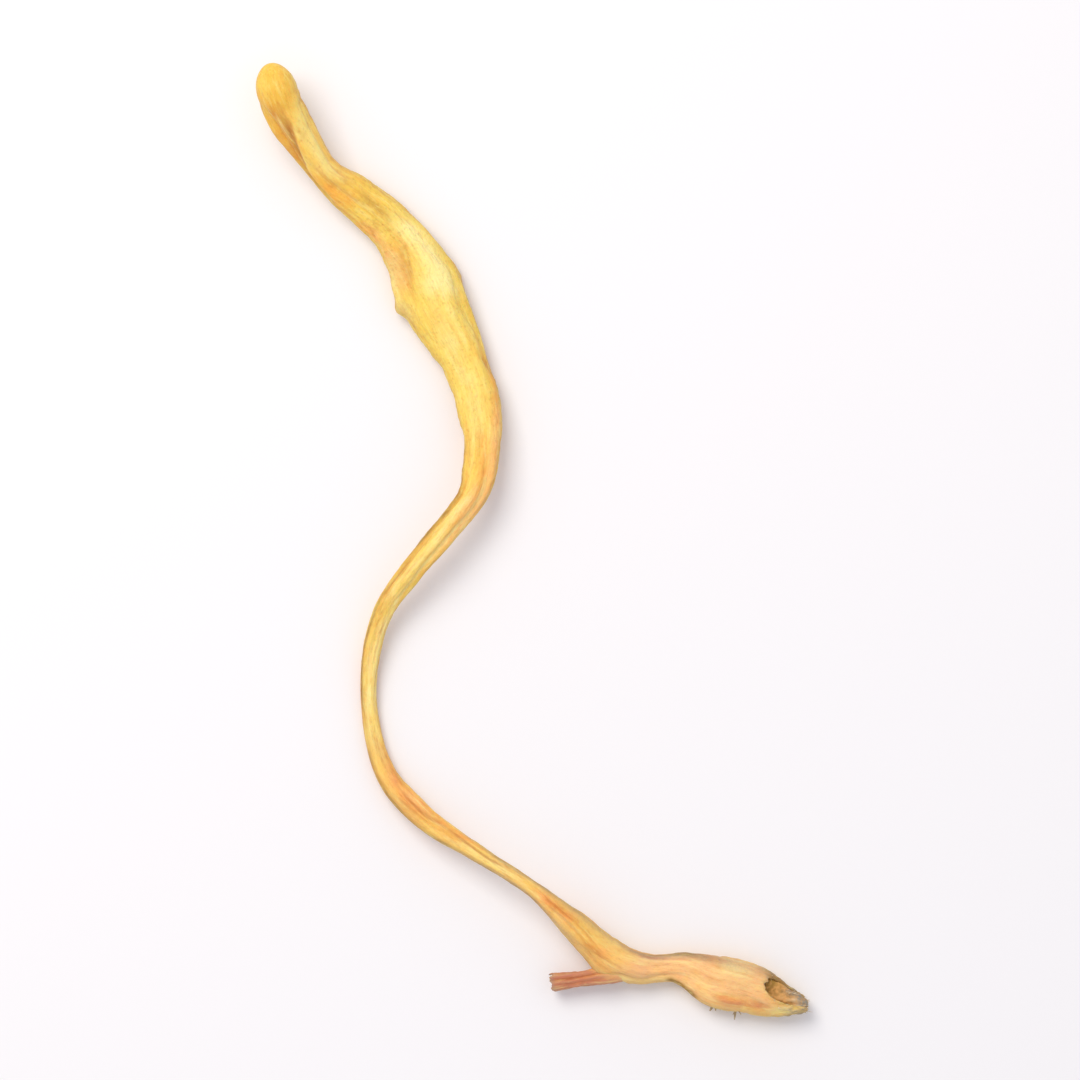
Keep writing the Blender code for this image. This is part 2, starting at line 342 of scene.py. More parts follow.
# Torn edges: (how far back the skin is torn, the angle where that is and its half-width in degrees, how
# far the edge runs in and out besides, seed), mm. The stub is torn back alike all round.
MOUTH_TEAR = (2.55, 52.0, 52.0, 0.24, 11)
STUB_TEAR = (0.0, 0.0, 1.0, 0.22, 51)
JAGS = ((9, 1.0), (23, 0.7), (51, 0.5))  # of an edge: (how many around, height)
JAGS_BASE = 0.8  # how far back the edge lies on the whole, as a share of how far it runs in and out
JAGS_SWING = 0.5  # share that the jags have in it

# The torn mouth at the foot's end.
MOUTH_STRETCH = 4.6  # length of skin over which the grid is drawn back to the torn edge, mm
LIP = 0.20  # thickness of the torn wall, mm
LIP_ROUND = 0.10  # share of the section that the edge is rounded off by
HOLLOW_DEPTH = 3.5  # how far in the hollow ends, mm
HOLLOW_RUN = 1.5  # power of the sine in which it runs in
HOLLOW_TAPER = 0.6  # power of the cosine in which it narrows
# Near its end the foot crumbles and turns grey.
CRUMBLE_START = 3.2  # mm before the end
CRUMBLE_FADE = 2.6  # mm
END_LUMPS = 0.07  # height of its lumps, mm
HOLLOW_LUMPS = 0.5  # height of those inside the hollow, as a share of it
CRUMBLE_GREY = (0.35, 0.9, 0.7)  # all round, more on one edge and more on the lumps
CRUMBLE_SHARPNESS = 4
CRUMBLE_EDGE = (22, 34)  # that edge's angle and half-width, degrees
# Colours inside the hollow, in place of the skin's: orange-brown, with painted shade in olive and crease
# brown.
HOLLOW_TONES_AND_SHADE = {
    "orange_tone_and_shade": 0.80,
    "peach_stain": 0.00,
    "pale_tone_and_highlight": 0.00,
    "olive_marks_and_shade": 0.70,
    "crease_shade": 0.25,
    "grey_share": 0.15,
}

# What is left of the pith inside it, set back from the torn edge.
PITH_SPAN = (69.03, 72.70)  # places, mm
PITH_SHARE = 0.78  # share of the foot's own section that it fills
PITH_ROUND = 0.75  # how far from its ends it starts to close, mm
PITH_LUMPS = 0.10  # height of its lumps, mm
PITH_LUMP_SHARES = (0.8, 0.6)  # of fibres and of crumbs in them
PITH_PIT = (70.35, 64, 0.42, 34, 0.30)  # where it sank under the skin's edge: as a hollow in SPOTS
# Its stains and painted shadow: (place, fade) in mm, or (angle, half-width) in degrees.
PITH_SHADOW = (71.0, -0.8)
PITH_CREAM = (70.9, 0.6)
PITH_GREY = (71.7, 0.7)
PITH_GREY_EDGE = (70.9, 0.7)
PITH_EDGE = (20, 36)
PITH_CREAM_SIDE = (106, 50)
PITH_SHADOW_SHARES = (0.8, 0.5)  # painted shadow inside the foot, under the torn skin's edge, and along the edge
PITH_CREAM_SHARES = (0.50, 0.9)  # everywhere, and more on the fibres
PITH_HOLLOW_SHARES = (0.15, 0.8)  # painted shade everywhere, and more between the lumps

# The side stub: the same five sizes at its root, inside the foot, and on to its broken end.
STUB = np.array(
    [
        (5.90, -23.70, 1.00, 0.85, 0.42),
        (4.10, -23.98, 1.08, 0.90, 0.68),
        (2.50, -24.22, 0.98, 0.82, 0.55),
        (0.92, -24.42, 1.12, 0.90, 0.46),
    ]
)
KNEE = 61.8  # place on the strand where the stub grows out, mm
KNEE_REACH = 3.5  # how far from there the strand's gap to the stub is worked out, mm
FAR_OFF = 9.0  # gap that stands for all beyond, mm
STUB_FILLET = 0.9  # gap to the stub at which the strand's skin starts to swell towards it, mm
STUB_ROOT_ROUND = 0.16  # rounding of its root, inside the foot, mm
STUB_STRETCH = 0.9  # length of skin over which the grid is drawn back to the broken edge, mm
STUB_LIP = 0.11  # thickness of the broken wall, mm
STUB_HOLLOW = 0.65  # how far in its hollow ends, mm
STUB_CREASES = (
    (1.4, 5.1, 62, 76, 16, 0.07),
    (1.8, 5.2, 116, 104, 15, 0.08),
    (2.0, 5.2, 20, 8, 14, 0.06),
    (1.6, 5.0, 170, 182, 15, 0.06),
    (1.4, 5.1, 250, 266, 18, 0.07),
    (1.8, 5.1, 310, 322, 16, 0.06),
)
# Its stains. The first three blend it into the foot: (strength, gap where that has faded, mm).
ROOT_ORANGE = (0.2, 0.4)
ROOT_PEACH = (1.0, 0.7)
ROOT_LESS_RED = (0.7, 0.5)
# Painted shade along its two edges, then in its creases.
STUB_EDGE_SHADE = 0.35
STUB_CREASE_SHADE = 0.7
STUB_CREASE_FULL = 0.12  # depth of a crease whose painted shade is full, mm
STUB_GREY = 0.75
STUB_GREY_LENGTH = 0.7  # mm before its end
STUB_HOLLOW_GREY = 0.6

# Splinters on the foot, one by one: (place, angle, how far it reaches forward, to the left and up, radius,
# tone from 0, dark, to 1, pale), mm.
SPURS = (
    (68.78, 196, 0.06, -0.62, -0.12, 0.085, 0.35),
    (68.85, 193, -0.14, -0.34, 0.02, 0.050, 0.30),
    (68.95, 191, 0.22, -0.24, 0.06, 0.050, 0.40),
    (67.58, 190, -0.12, -0.36, -0.06, 0.100, 0.32),
    (67.70, 188, 0.04, -0.28, 0.02, 0.070, 0.35),
    (67.84, 186, 0.14, -0.18, 0.06, 0.045, 0.55),
    (65.70, 20, 0.26, 0.03, 0.00, 0.030, 0.25),
    (65.55, 164, 0.30, -0.03, -0.02, 0.028, 0.25),
)
SPUR_SHARE = 0.93  # share of the section where a splinter starts
SPUR_BOW = 0.10  # how far it is bowed, as a share of its length
# Tufts of finer fibres torn off along the mouth's near edge: (from, to, angle at the start, angle at the
# end, how many), mm and degrees.
TUFTS = ((70.9, 71.7, 110, 132, 16), (71.2, 71.9, 60, 40, 6))
TUFT_STRAY = 3  # degrees
TUFT_SHARES = (0.74, 0.92)  # of the section, where its fibres start
TUFT_INWARDS = 0.25  # how far they lean inwards, as a share of their length
FRINGE_BACK = 0.08  # how far behind a torn edge its hairs start, mm
FRINGE_WALL = (0.2, 0.9)  # shares of the torn wall's thickness where they start
# Least and greatest length and radius in mm and tone, and the spread of their directions and the size
# of their bows as shares of their length.
TUFT_HAIR = {
    "lengths": (0.10, 0.30),
    "radii": (0.010, 0.022),
    "tones": (0.45, 0.95),
    "spread": 0.28,
    "bow": 0.07,
}
FRINGE_HAIR = {
    "lengths": (0.06, 0.17),
    "radii": (0.012, 0.028),
    "tones": (0.2, 0.8),
    "spread": 0.7,
    "bow": 0.12,
}
MOUTH_HAIRS = 46
STUB_HAIRS = 9
FIBRE_SEED = 61
HAIR_TAPER = 0.92  # share of a hair's cross-section lost at its end
OFF_AXIS = np.array([0.31, 0.47, 0.83])  # a direction that no hair takes

# How finely the surfaces are divided.
RINGS = 700
TIP_RINGS = 14
HOLLOW_RINGS = 34
AROUND = 128
PITH_RINGS = 60
PITH_AROUND = 90
STUB_RINGS = 120
STUB_ROOT_RINGS = 4
STUB_HOLLOW_RINGS = 14
STUB_AROUND = 72
HAIR_RINGS = 7
HAIR_AROUND = 6
TINY = 1e-6  # least length or ratio that anything is divided by

# The stage, in metres and degrees.
TABLE_HALF = 1.5
TABLE_DROP = 0.01 * MM  # how far the table lies under the strand, so that the two don't flicker
VIEW_SHIFT = 0.4 * MM  # how far the camera's middle lies to the right of the solid's
SENSOR_WIDTH = 36  # mm
SIGHT = (1 * MM, 10)  # how near and how far the camera sees
LAMP_SIZE = 0.16
LAMP_PLACE = (-0.10, 0.12, 0.23)
LAMP_TILT = (-26, -24, 0)
LAMP_COLOUR = "#FFF8F0"
SKY_COLOUR = "#F8F8FF"


def linear(hex_colour):
    """The linear red, green and blue of an sRGB hex colour."""
    shares = np.array([int(hex_colour[i : i + 2], 16) for i in (1, 3, 5)]) / 255
    return tuple(np.where(shares <= 0.04045, shares / 12.92, ((shares + 0.055) / 1.055) ** 2.4))


def darker(colour, share):
    """A colour with this share of its light."""
    return tuple(share * channel for channel in colour)


def tint(name, description, hex_colour):
    """A colour property whose default is an sRGB hex colour."""
    return FloatVectorProperty(
        name=name, description=description, default=linear(hex_colour), subtype="COLOR", min=0.0, max=1.0
    )


class CordycepsSkin(PropertyGroup):
    """Relief and colours of the dried skin."""

    furrow_depth: FloatProperty(
        name="Furrow depth",
        description="Depth of the lengthwise furrows, as a share of the strand's mean radius",
        default=0.070,
        min=0.0,
        max=0.2,
        subtype="FACTOR",
    )
    grain_height: FloatProperty(
        name="Grain height",
        description="Height of the tiny pimples on the club",
        default=0.020 * MM,
        min=0.0,
        max=0.1 * MM,
        precision=6,
        subtype="DISTANCE",
        unit="LENGTH",
    )
    yellow: tint("Yellow", "Main colour of the club and the stem", "#F3D35A")
    # Pale yellow is partly the skin's own pale tone and mostly painted highlight on ridges and crests.
    pale: tint("Pale yellow", "Raised ridges that dried pale", "#FAEA98")
    # Orange is partly the skin's own tone and partly painted shade on flanks and in hollows.
    orange: tint("Orange", "Hollows, flanks and the lower stem", "#F3A040")
    gold: tint("Gold", "Deeper yellow of the tip", "#F2C634")
    peach: tint("Peach", "Skin of the foot and of the outer bend", "#FAC482")
    # Olive brown is partly dark marks of the skin and mostly painted shade along edges and in creases.
    olive: tint("Olive brown", "Edge lines and dark dried marks", "#9C7428")
    # Crease brown is painted shade in folds and furrows; the fine threads and pores are darkened with it
    # too.
    crease: tint("Crease brown", "Deepest parts of folds and furrows", "#B4601A")
    torn: tint("Torn grey", "Crumbly grey-brown of the torn end", "#938A7A")
    pith: tint("Pith orange-brown", "Torn pith inside the foot", "#DAA059")
    stub: tint("Stub red-brown", "The broken side stub", "#C47E64")
    fibre: tint("Fibre cream", "Palest of the torn fibres", "#F4DFB4")


class CordycepsStage(PropertyGroup):
    """Floor, light and camera."""

    floor: tint("Floor", "Colour of the table", "#F0EFF0")
    view: FloatProperty(
        name="View",
        description="Width of table that the camera takes in",
        default=60.0 * MM,
        min=30.0 * MM,
        subtype="DISTANCE",
        unit="LENGTH",
    )
    height: FloatProperty(
        name="Camera height",
        description="Height of the camera, straight above the strand",
        default=1000.0 * MM,
        min=50.0 * MM,
        subtype="DISTANCE",
        unit="LENGTH",
    )
    key_light: FloatProperty(
        name="Key light",
        description="Strength of the large soft light",
        default=0.46,
        min=0.0,
        subtype="POWER",
        unit="POWER",
    )
    sky_light: FloatProperty(
        name="Sky light",
        description="Strength of the even light from all around",
        default=0.75,
        min=0.0,
    )


def through(knots, values, at):
    """Cubic pieces through the values, each knot's slope being the average around it."""
    slopes = np.gradient(values, knots, axis=0)
    i = np.clip(np.searchsorted(knots, at, side="right") - 1, 0, len(knots) - 2)
    step = (knots[i + 1] - knots[i])[:, None]
    t = (at - knots[i])[:, None] / step
    ends = (2 * t**3 - 3 * t**2 + 1) * values[i] + (3 * t**2 - 2 * t**3) * values[i + 1]
    lean = (t**3 - 2 * t**2 + t) * slopes[i] + (t**3 - t**2) * slopes[i + 1]
    return ends + step * lean


def distance_along(points):
    """How far each point is from the first one, along the line through them."""
    return np.concatenate([[0.0], np.cumsum(np.linalg.norm(np.diff(points, axis=0), axis=1))])


def course_of(stations):
    """The smooth course through the stations, read finely: for each sample its place, its middle, its
    half-width and half-thickness, its forward, side and top directions, and how fast it turns."""
    rough = distance_along(stations[:, :2])
    fine = through(rough, stations, np.linspace(0, rough[-1], SAMPLES_PER_STATION * len(stations)))
    place = distance_along(fine[:, :2])
    x, y, width, thick, lift = fine.T
    middle = np.stack([x, y, lift + thick / 2], axis=1)
    forward = np.gradient(middle, place, axis=0)
    forward /= np.linalg.norm(forward, axis=1)[:, None]
    side = np.stack([-forward[:, 1], forward[:, 0], np.zeros(len(x))], axis=1)
    side /= np.linalg.norm(side, axis=1)[:, None]
    turn = np.gradient(np.unwrap(np.arctan2(forward[:, 1], forward[:, 0])), place)
    return {
        "place": place,
        "length": place[-1],
        "middle": middle,
        "half_width": width / 2,
        "half_thick": thick / 2,
        "forward": forward,
        "side": side,
        "top": np.cross(forward, side),
        "turn": turn,
    }


def read(course, name, place):
    """One of the course's values at each place, straight between its samples."""
    values = course[name]
    if values.ndim == 1:
        return np.interp(place, course["place"], values)
    return np.stack([np.interp(place, course["place"], column) for column in values.T], axis=-1)


def smooth_step(share):
    """Eases from 0 to 1 as the share does: three times its square less twice its cube."""
    share = np.clip(share, 0, 1)
    return share * share * (3 - 2 * share)


def rising(place, start, fade):
    """Eases from 0 at the start to 1 one fade further on, or further back if the fade is below zero."""
    return smooth_step((place - start) / fade)


def between(place, start, fade, end, fade_back):
    """Eases up from the start, and down again to the end."""
    return rising(place, start, fade) * rising(place, end, fade_back)


def all_round(count):
    """Evenly spaced angles of this many points around a section, in radians."""
    return 2 * np.pi * np.arange(count) / count


def away(angle, centre):
    """Difference of two angles, in radians, from -pi to pi."""
    return (angle - centre + np.pi) % (2 * np.pi) - np.pi


def bell(angle, centre, half_width):
    """Bell curve around the section: e to the power of minus the square of how many half-widths an angle
    is away from the centre. Both of these are in degrees."""
    return np.exp(-((away(angle, np.radians(centre)) / np.radians(half_width)) ** 2))


def streaks(table, place, angle):
    """Sum of bands along the strand. Each is a bell curve across its own line, which wanders a little,
    and fades out towards both ends."""
    total = np.zeros(place.shape)
    for n, (start, end, from_angle, to_angle, half_width, strength) in enumerate(table):
        share = (place - start) / (end - start)
        window = between(share, 0, CREASE_FADE, 1, -CREASE_FADE)
        line = from_angle + (to_angle - from_angle) * share
        line = line + CREASE_WANDER * np.sin(2 * np.pi * place / CREASE_WAVE + n)
        total += strength * window * bell(angle, line, half_width)
    return total


def patches(table, place, angle):
    """Sum of round spots, each a bell curve along the strand and around it."""
    total = np.zeros(place.shape)
    for centre, at_angle, half_length, half_width, strength in table:
        along = (place - centre) / half_length
        off = away(angle, np.radians(at_angle)) / np.radians(half_width)
        total += strength * np.exp(-(along**2) - off**2)
    return total


def uneven(place, angle, cell_length, cells_around, seed):
    """Smooth random heights from -1 to 1: random numbers on a lattice that closes around the strand,
    eased from each corner of a cell to the next."""
    rng = np.random.default_rng(seed)
    rows = int(np.max(place) / cell_length) + 3
    heights = rng.uniform(-1, 1, (rows, cells_around))
    row = np.clip(place / cell_length, 0, rows - 2)
    column = (angle / (2 * np.pi)) % 1 * cells_around
    i = row.astype(int)
    j = column.astype(int) % cells_around
    down = smooth_step(row - i)
    right = smooth_step(column - np.floor(column))
    after = (j + 1) % cells_around
    here = heights[i, j] * (1 - right) + heights[i, after] * right
    there = heights[i + 1, j] * (1 - right) + heights[i + 1, after] * right
    return here * (1 - down) + there * down


def layered(table, place, angle):
    """Sum of the table's layers, each an uneven height times its own."""
    return sum(height * uneven(place, angle, *cells) for *cells, height in table)


def crumpled(place, angle, cell_length, cells_around, seed):
    """Sharp irregular creases, from 0 between them to 1 along them: one less the size of an uneven
    height that strays along and around, to a power, so they run where that height is zero."""
    stray = uneven(place, angle, STRAY_CELL * cell_length, max(3, cells_around // 2), seed)
    place = place + STRAY_ALONG * cell_length * stray
    angle = angle + STRAY_AROUND / cells_around * stray
    return (1 - np.abs(uneven(place, angle, cell_length, cells_around, seed + 1))) ** CREASE_SHARPNESS


def wrinkles(course, place, angle, look):
    """Depth in mm of the dried skin's own relief, besides the named creases: three sizes of lengthwise
    creases, soft undulations, short folds across it where a bend squeezes the skin, as the square of a
    sine, and the club's pimples. All but the pimples grow with the mean radius, which is the square
    root of the half-width times the half-thickness."""
    radius = np.sqrt(read(course, "half_width", place) * read(course, "half_thick", place))
    on_club = between(place, *CLUB)
    creases = 0
    for *cells, strength, lost in DRY_CREASES:
        creases = creases + strength * crumpled(place, angle, *cells) * (1 - lost * on_club)
    sunk = look.furrow_depth * radius * creases
    for *cells, height in UNDULATIONS:
        sunk = sunk - height * radius * uneven(place, angle, *cells)
    squeezed = np.clip(read(course, "turn", place) * radius * np.cos(angle) * SQUEEZE, 0, 1) * (1 - on_club)
    stray = CROSS_FOLD_STRAY * uneven(place, angle, *CROSS_FOLD_CELLS)
    across = 0.5 + 0.5 * np.sin(2 * np.pi * place / CROSS_FOLD_WAVE + stray)
    sunk = sunk + CROSS_FOLD_DEPTH * radius * squeezed * across**2
    grain = GRAIN_OFF_CLUB + (1 - GRAIN_OFF_CLUB) * on_club
    return sunk - look.grain_height / MM * layered(PIMPLES, place, angle) * grain


def folds(course, place, angle, look):
    """How far the strand's skin sinks, in mm: by the solid's own creases, hollows and knobs, and by the
    finer lines and wrinkles."""
    large = streaks(CREASES, place, angle) + patches(SPOTS, place, angle)
    small = streaks(FINE_CREASES, place, angle) + wrinkles(course, place, angle, look)
    return large, small


def marked(table, spots, place, angle):
    """Strength of a mark of colour, from 0 to 1: its streaks and its patches together. It serves stains,
    painted highlights and painted shade alike.
    """
    return np.clip(streaks(table, place, angle) + patches(spots, place, angle), 0, 1)


def strand_tones_and_shade(course, place, angle, large, small, gap):
    """Strengths of the strand's stains, painted highlights and painted shade. Each has its streaks and
    patches. Orange, peach and gold also change with the place, and orange pushes peach back; orange and
    olive are partly painted shade. The crests of its small relief get a pale painted highlight, its
    edges olive painted shade, its furrows and large folds brown painted shade, and near the stub it is
    red."""
    half_width = read(course, "half_width", place)
    furrowed = np.clip((small / half_width - FURROW_START) / FURROW_RANGE, 0, 1)
    creased = furrowed + np.clip(large / FOLD_FULL, 0, 1) ** FOLD_SHARPNESS
    brown = CREASE_SHADE - CREASE_LESS_ON_FOOT * rising(place, *FOOT)
    crests = np.clip(-(small / half_width) / CREST_FULL, 0, 1)
    edges = np.abs(np.cos(angle)) ** EDGE_SHARPNESS
    orange_here, peach_here, gold_here = (np.interp(place, TINTS[:, 0], TINTS[:, n]) for n in (1, 2, 3))
    orange = marked(ORANGE_STREAKS, ORANGE_PATCHES, place, angle)
    peach = marked(PEACH_STREAKS, PEACH_PATCHES, place, angle) + peach_here
    pale = marked(PALE_STREAKS, PALE_PATCHES, place, angle)
    olive = marked(OLIVE_STREAKS, OLIVE_PATCHES, place, angle)
    blush, blush_reach = STUB_BLUSH
    return {
        "orange_tone_and_shade": np.clip(orange + orange_here, 0, 1),
        "peach_stain": np.clip(peach * (1 - PEACH_UNDER_ORANGE * orange), 0, 1),
        "pale_tone_and_highlight": np.clip(pale + CREST_HIGHLIGHT * crests, 0, 1),
        "gold_stain": gold_here,
        "olive_marks_and_shade": np.clip(olive + EDGE_SHADE * edges, 0, 1),
        "red_stain": streaks(RED_STREAKS, place, angle) + blush * touching(gap, blush_reach),
        "crease_shade": np.clip(creased, 0, 1) * brown + patches(FOLD_SHADE_PATCHES, place, angle),
    }


def skin_points(course, place, angle, share, sunk):
    """Points of a skin around a course. From the middle at each place, a point lies sideways by the
    half-width times the cosine of its angle and upwards by the half-thickness times the sine, both
    raised to the power of the squareness and times its share, and then nearer by what it has sunk."""
    across = read(course, "half_width", place) * share
    across = across * np.sign(np.cos(angle)) * np.abs(np.cos(angle)) ** SQUARENESS
    upward = read(course, "half_thick", place) * share
    upward = upward * np.sign(np.sin(angle)) * np.abs(np.sin(angle)) ** SQUARENESS
    shrink = 1 - sunk / np.maximum(np.hypot(across, upward), TINY)
    across = across * shrink
    upward = upward * shrink
    middle = read(course, "middle", place)
    side = read(course, "side", place)
    top = read(course, "top", place)
    return middle + across[..., None] * side + upward[..., None] * top


def on_table(points):
    """The same points, none of them lower than the table."""
    points[..., 2] = np.maximum(points[..., 2], 0.0)
    return points


def straightened(course, place, angle, share):
    """Where each point of a skin would lie, in mm, if the course were straight: across it, upwards and
    along. Patterns that follow the skin are read there."""
    across = read(course, "half_width", place) * share * np.cos(angle)
    upward = read(course, "half_thick", place) * share * np.sin(angle)
    return np.stack([across, upward, place], axis=-1)


def torn_back(angle, reach, centre, half_width, ragged, seed):
    """How far back, in mm, a torn edge lies at each angle: furthest at its centre, as a bell curve of the
    fourth power, and besides by how ragged it is times its base and its jags."""
    off = away(angle, np.radians(centre)) / np.radians(half_width)
    still = np.zeros_like(angle)
    jags = layered([(1.0, cells, seed + n, height) for n, (cells, height) in enumerate(JAGS)], still, angle)
    return reach * np.exp(-(off**4)) + ragged * (JAGS_BASE + JAGS_SWING * jags)


def torn_tube(course, around, tear, rings, first_round, first_rings, stretch, lip, depth, hollow_rings):
    """Place, angle and share of the full section for every point of a tube with a torn end, and whether
    it is inside. Its rings close the first end as a quarter circle, run evenly to the torn edge, turn
    over the lip and go back inside as the wall of a hollow, which runs in as a power of a sine while it
    narrows as a power of the cosine."""
    length = course["length"]
    angle = all_round(around)
    torn = torn_back(angle, *tear)
    first = first_round * (1 - np.cos(np.linspace(0, np.pi / 2, first_rings + 1)[1:]))
    body = np.linspace(first_round, length, rings - first_rings + 1)[1:]
    along = np.concatenate([first, body])[:, None]
    outer_place = along - torn * smooth_step((along - length + stretch) / stretch)
    outer_share = np.sqrt(1 - np.clip(1 - along / first_round, 0, 1) ** 2)
    to_edge = np.clip(1 - (length - along) / lip, 0, 1)
    outer_share = np.broadcast_to(outer_share * (1 - LIP_ROUND * to_edge**2), outer_place.shape)

    deeper = np.linspace(0, np.pi / 2, hollow_rings + 2)[1:-1, None]
    edge = length - torn
    inner_place = edge + (length - depth - edge) * np.sin(deeper) ** HOLLOW_RUN
    wall = lip / read(course, "half_width", edge)
    inner_share = (1 - wall) * np.cos(deeper) ** HOLLOW_TAPER
    place = np.concatenate([outer_place, inner_place])
    share = np.concatenate([outer_share, inner_share])
    inside = np.broadcast_to(np.arange(len(place))[:, None] >= rings, place.shape)
    return place, np.broadcast_to(angle, place.shape), share, inside


def gap_to_round(course, points):
    """How far points are, in mm, outside a course whose section is nearly round: the least distance to
    a sample of its middle, less the mean of its half-width and half-thickness there. Points inside
    give less than zero."""
    reach = np.linalg.norm(points[..., None, :] - course["middle"], axis=-1)
    return np.min(reach - (course["half_width"] + course["half_thick"]) / 2, axis=-1)


def gap_to_oval(course, points):
    """The same for a course with an oval section: from the nearest sample of its middle, the point's
    distance, less the oval's own reach in that direction."""
    nearest = np.argmin(np.linalg.norm(points[..., None, :2] - course["middle"][:, :2], axis=-1), axis=-1)
    apart = points - course["middle"][nearest]
    across = np.sum(apart * course["side"][nearest], axis=-1)
    upward = np.sum(apart * course["top"][nearest], axis=-1)
    times = np.hypot(across / course["half_width"][nearest], upward / course["half_thick"][nearest])
    return np.hypot(across, upward) * (1 - 1 / np.maximum(times, TINY))


def swollen(gap):
    """How far the strand's skin swells, in mm, at a gap to the stub that grows out of it: a quarter of
    the fillet where they touch, falling as a square to nothing, so that the foot rises to the stub."""
    return STUB_FILLET / 4 * np.clip(1 - np.abs(gap) / STUB_FILLET, 0, 1) ** 2


def touching(gap, reach):
    """Eases from 1 where two skins touch to 0 at a gap of the reach."""
    return smooth_step(1 - gap / reach)


def new_object(name, data):
    """A new object in the scene."""
    thing = bpy.data.objects.new(name, data)
    bpy.context.scene.collection.objects.link(thing)
    return thing


def new_piece(name, points, faces, attributes):
    """An object shaded smooth, from points in mm, faces, and attributes that have one row for each
    point, of one number or of three."""
    mesh = bpy.data.meshes.new(name)
    mesh.from_pydata(points * MM, [], faces)
    mesh.polygons.foreach_set("use_smooth", np.ones(len(mesh.polygons), dtype=bool))
    for label, rows in attributes.items():
        kind, field = ("FLOAT_VECTOR", "vector") if rows.shape[1] == 3 else ("FLOAT", "value")
        mesh.attributes.new(label, kind, "POINT").data.foreach_set(field, rows.ravel())
    mesh.update()
    return new_object(name, mesh)


def closed_grid(name, rings, poles, attributes):
    """A piece with quads between the rings of points and a fan of triangles to the pole at each end,
    its faces pointing outwards. At the poles, the attributes are those of the first and last rings."""
    count, around = rings.shape[:2]
    number = np.arange(count * around).reshape(count, around)
    after = np.roll(number, -1, axis=1)
    quads = np.stack([number[:-1], after[:-1], after[1:], number[1:]], axis=-1).reshape(-1, 4)
    first = np.full(around, count * around)
    first_fan = np.stack([first, after[0], number[0]], axis=-1)
    last_fan = np.stack([first + 1, number[-1], after[-1]], axis=-1)
    rows = {
        label: np.concatenate([values.reshape(count * around, -1), values[[0, -1], 0].reshape(2, -1)])
        for label, values in attributes.items()
    }
    points = np.concatenate([rings.reshape(-1, 3), poles])
    return new_piece(name, points, quads.tolist() + first_fan.tolist() + last_fan.tolist(), rows)


def hair_tubes(name, roots, reaches, bows, radii, tones):
    """Thin hairs joined in one piece. Each runs from its root along its reach, bowed sideways by a
    parabola, and its radius shrinks as the square root of what is left of its length. All in mm."""
    share = np.linspace(0, 1, HAIR_RINGS)[None, :, None]
    middle = roots[:, None] + share * reaches[:, None] + 4 * share * (1 - share) * bows[:, None]
    forward = reaches[:, None] + 4 * (1 - 2 * share) * bows[:, None]
    forward /= np.linalg.norm(forward, axis=2, keepdims=True)
    across = np.cross(forward, OFF_AXIS)
    across /= np.linalg.norm(across, axis=2, keepdims=True)
    upward = np.cross(forward, across)
    turn = all_round(HAIR_AROUND)
    radius = (radii[:, None] * np.sqrt(1 - HAIR_TAPER * share[..., 0]))[..., None, None]
    circle = np.cos(turn)[:, None] * across[:, :, None] + np.sin(turn)[:, None] * upward[:, :, None]
    points = on_table((middle[:, :, None] + radius * circle).reshape(-1, 3))

    number = np.arange(len(points)).reshape(len(roots), HAIR_RINGS, HAIR_AROUND)
    after = np.roll(number, -1, axis=2)
    sides = np.stack([number[:, :-1], after[:, :-1], after[:, 1:], number[:, 1:]], axis=-1)
    ends = [*number[:, 0, ::-1].tolist(), *number[:, -1].tolist()]
    tone = np.repeat(tones, HAIR_RINGS * HAIR_AROUND)[:, None]
    return new_piece(name, points, sides.reshape(-1, 4).tolist() + ends, {"tone": tone})


def add(tree, kind, inputs=None, output=0, **settings):
    """Adds one shader node of this kind with its settings, sets or links its inputs, and gives its
    output."""
    node = tree.nodes.new("ShaderNode" + kind)
    for name, value in settings.items():
        setattr(node, name, value)
    for name, value in (inputs or {}).items():
        socket = node.inputs[name]
        if isinstance(value, bpy.types.NodeSocket):
            tree.links.new(value, socket)
        else:
            socket.default_value = (*value, 1.0) if socket.type == "RGBA" else value
    return node.outputs[output] if node.outputs else node


def new_material(name):
    """An empty material and its node tree."""
    material = bpy.data.materials.new(name)
    material.use_nodes = True
    material.node_tree.nodes.clear()
    return material, material.node_tree


